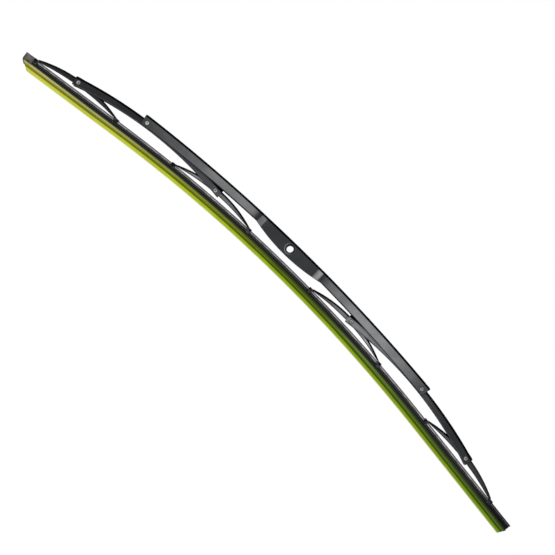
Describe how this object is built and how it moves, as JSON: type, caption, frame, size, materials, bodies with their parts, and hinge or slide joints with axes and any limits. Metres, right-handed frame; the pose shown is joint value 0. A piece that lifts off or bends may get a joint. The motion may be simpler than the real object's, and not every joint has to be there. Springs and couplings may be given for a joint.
{
  "type": "wiper blade",
  "caption": "Bracket-type windscreen wiper blade with a bored pressed bridge, pivoting levers and claw yokes, and a sprung two-tone squeegee strip.",
  "frame": {"origin": "middle of the arm pin's hole in the bridge, halfway between its two walls", "axes": "+X along the blade away from the end clip, +Y across the blade along the arm pin, +Z away from the glass"},
  "size_m": [0.6099, 0.0158, 0.0607],
  "materials": {
    "bridge_paint": "satin black paint on pressed steel",
    "lever_paint": "satin black paint on pressed steel",
    "yoke_paint": "satin black paint on pressed steel",
    "rivet_zinc": "bright zinc, formed heads",
    "liner_plastic": "black moulded plastic",
    "head_black": "black extrusion, faintly lined",
    "spring_steel": "dull spring steel",
    "squeegee_rubber": "yellow to green rubber, satin",
    "clip_plastic": "dark grey, matt"
  },
  "bodies": {
    "bridge": {"primary_bridge": "bridge_paint", "rivet_main_left": "rivet_zinc", "rivet_main_right": "rivet_zinc"},
    "lever_left": {"lever_left": "lever_paint", "liner_main_left": "liner_plastic", "rivet_outer_left": "rivet_zinc", "rivet_inner_left": "rivet_zinc"},
    "yoke_outer_left": {"yoke_outer_left": "yoke_paint", "liner_outer_left": "liner_plastic", "end_clip": "clip_plastic"},
    "yoke_inner_left": {"yoke_inner_left": "yoke_paint", "liner_inner_left": "liner_plastic"},
    "lever_right": {"lever_right": "lever_paint", "liner_main_right": "liner_plastic", "rivet_outer_right": "rivet_zinc", "rivet_inner_right": "rivet_zinc"},
    "yoke_outer_right": {"yoke_outer_right": "yoke_paint", "liner_outer_right": "liner_plastic"},
    "yoke_inner_right": {"yoke_inner_right": "yoke_paint", "liner_inner_right": "liner_plastic"},
    "strip": {"backing_strip": "head_black", "rail_front": "spring_steel", "rail_back": "spring_steel", "squeegee": "squeegee_rubber"}
  },
  "joints": [
    {"name": "lever_left_pivot", "type": "hinge", "parent": "bridge", "child": "lever_left", "pos_m": [-0.172, 0, -0.00809], "axis": [0, 1, 0], "range_deg": [-1.5, 6], "stiffness_Nm_per_rad": 5, "springref_deg": -0.61},
    {"name": "lever_right_pivot", "type": "hinge", "parent": "bridge", "child": "lever_right", "pos_m": [0.172, 0, -0.00809], "axis": [0, -1, 0], "range_deg": [-1.5, 6]},
    {"name": "yoke_outer_left_pivot", "type": "hinge", "parent": "lever_left", "child": "yoke_outer_left", "pos_m": [-0.243, 0, -0.0252], "axis": [0, 1, 0], "range_deg": [-0.34, 1.38]},
    {"name": "yoke_inner_left_pivot", "type": "hinge", "parent": "lever_left", "child": "yoke_inner_left", "pos_m": [-0.085, 0, -0.0089], "axis": [0, 1, 0], "range_deg": [-2.7, 0.68]},
    {"name": "yoke_outer_right_pivot", "type": "hinge", "parent": "lever_right", "child": "yoke_outer_right", "pos_m": [0.243, 0, -0.0252], "axis": [0, -1, 0], "range_deg": [-0.34, 1.38]},
    {"name": "yoke_inner_right_pivot", "type": "hinge", "parent": "lever_right", "child": "yoke_inner_right", "pos_m": [0.085, 0, -0.0089], "axis": [0, -1, 0], "range_deg": [-2.7, 0.68]},
    {"name": "strip_drop", "type": "slide", "parent": "bridge", "child": "strip", "axis": [0, 0, -1], "range_m": [-0.00294, 0.01176], "deforming": ["backing_strip", "rail_front", "rail_back", "squeegee"]}
  ],
  "couplings": [
    {"joint": "lever_right_pivot", "follows": "lever_left_pivot", "ratio": 1},
    {"joint": "yoke_outer_left_pivot", "follows": "lever_left_pivot", "ratio": 0.23},
    {"joint": "yoke_inner_left_pivot", "follows": "lever_left_pivot", "ratio": -0.45},
    {"joint": "yoke_outer_right_pivot", "follows": "lever_left_pivot", "ratio": 0.23},
    {"joint": "yoke_inner_right_pivot", "follows": "lever_left_pivot", "ratio": -0.45},
    {"joint": "strip_drop", "follows": "lever_left_pivot", "m_per_rad": 0.1123}
  ]
}
